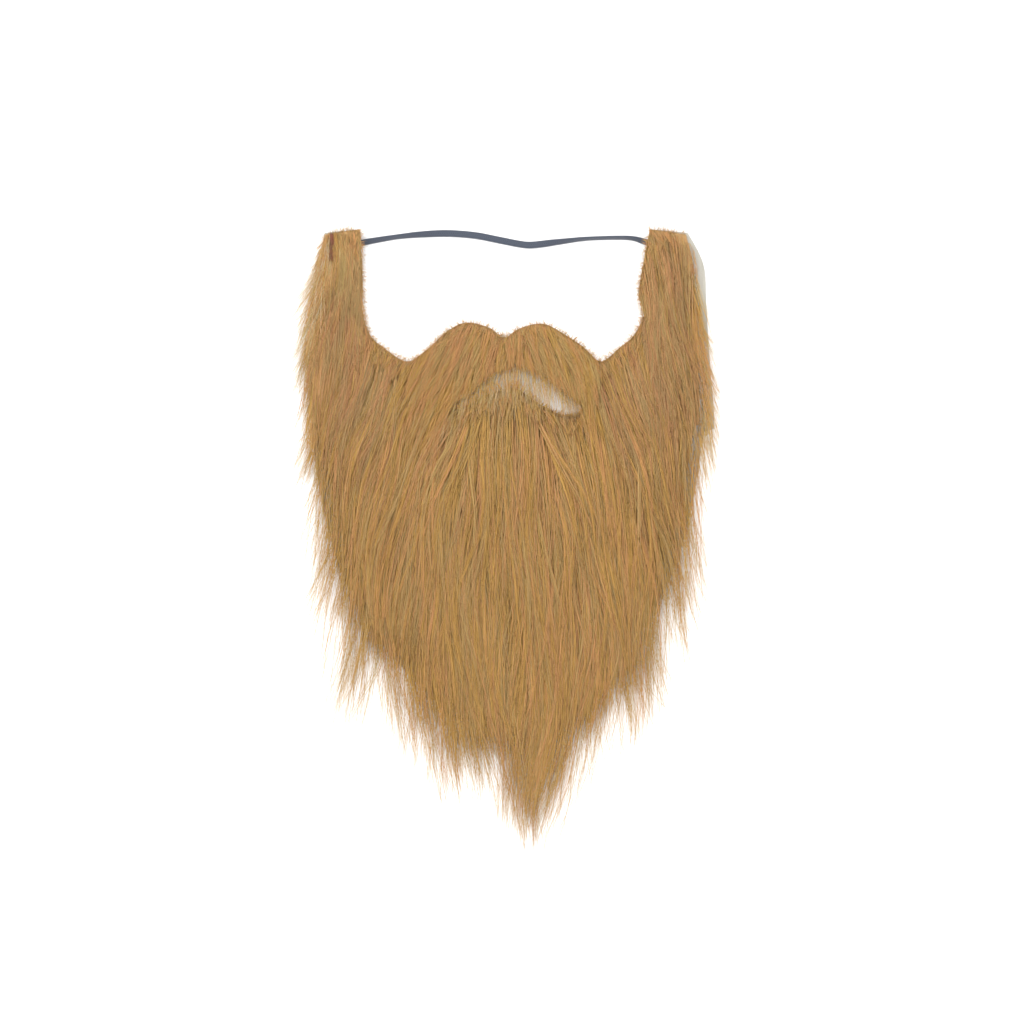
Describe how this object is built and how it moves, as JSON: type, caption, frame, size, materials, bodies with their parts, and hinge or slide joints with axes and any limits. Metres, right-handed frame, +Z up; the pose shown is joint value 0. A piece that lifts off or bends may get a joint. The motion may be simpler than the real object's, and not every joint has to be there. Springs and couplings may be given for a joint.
{
  "type": "fake beard",
  "caption": "Full costume beard of long-pile plush with moustache, sideburns and a mouth slot, on a flat elastic band; lies flat with its pile up.",
  "frame": {"origin": "centre of the beard's bounding box seen from above, at the height of the table that it lies on", "axes": "+Z up from the table through the pile; +Y from the beard's tip to its sideburns; +X to the right as seen from above with the sideburns at the top"},
  "size_m": [0.2085, 0.3141, 0.0115],
  "materials": {
    "tan_pile": "long straight acrylic pile, satin along the strands",
    "knit_ground": "matte fine weft knit",
    "navy_elastic": "matte braided elastic"
  },
  "bodies": {
    "root": {"fur_pile": "tan_pile", "backing_cloth": "knit_ground", "elastic_band": "navy_elastic"}
  },
  "joints": []
}
